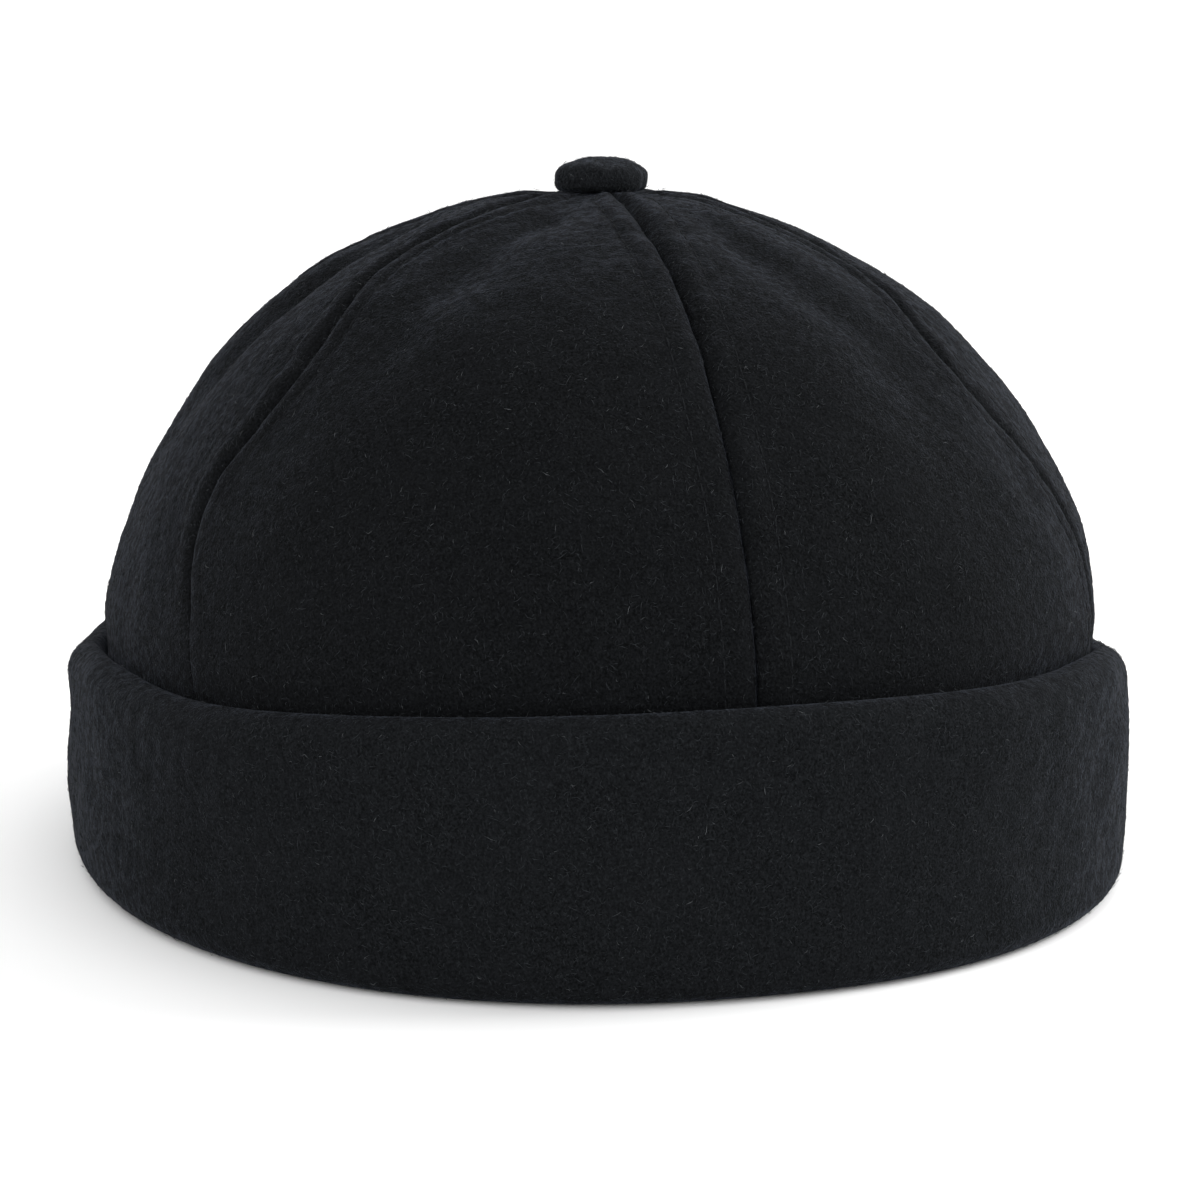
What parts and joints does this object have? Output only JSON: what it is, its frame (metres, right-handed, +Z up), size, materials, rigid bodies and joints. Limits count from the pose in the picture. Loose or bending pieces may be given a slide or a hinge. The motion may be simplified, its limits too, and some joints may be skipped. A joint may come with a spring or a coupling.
{
  "type": "fisherman beanie",
  "caption": "Brimless domed wool cap of sewn panels that meet at a covered button, with a deep turned-up cuff, worn on the head for warmth.",
  "frame": {"origin": "bottom centre of the cap's box, on the surface that the cuff's lower fold rests on", "axes": "+Z up through the button, the front of the cap at -Y, the wearer's left side towards +X"},
  "size_m": [0.1888, 0.2118, 0.1245],
  "materials": {
    "crown_wool": "matt felted melton wool with pale stray fibres",
    "cuff_wool": "matt felted melton wool with pale stray fibres",
    "button_wool": "matt felted melton wool stretched over a button"
  },
  "bodies": {
    "root": {"crown_panel_back_left": "crown_wool", "crown_panel_side_left": "crown_wool", "crown_panel_front_left": "crown_wool", "crown_panel_front_right": "crown_wool", "crown_panel_side_right": "crown_wool", "crown_panel_back_right": "crown_wool", "cuff_band": "cuff_wool", "crown_button": "button_wool"}
  },
  "joints": []
}
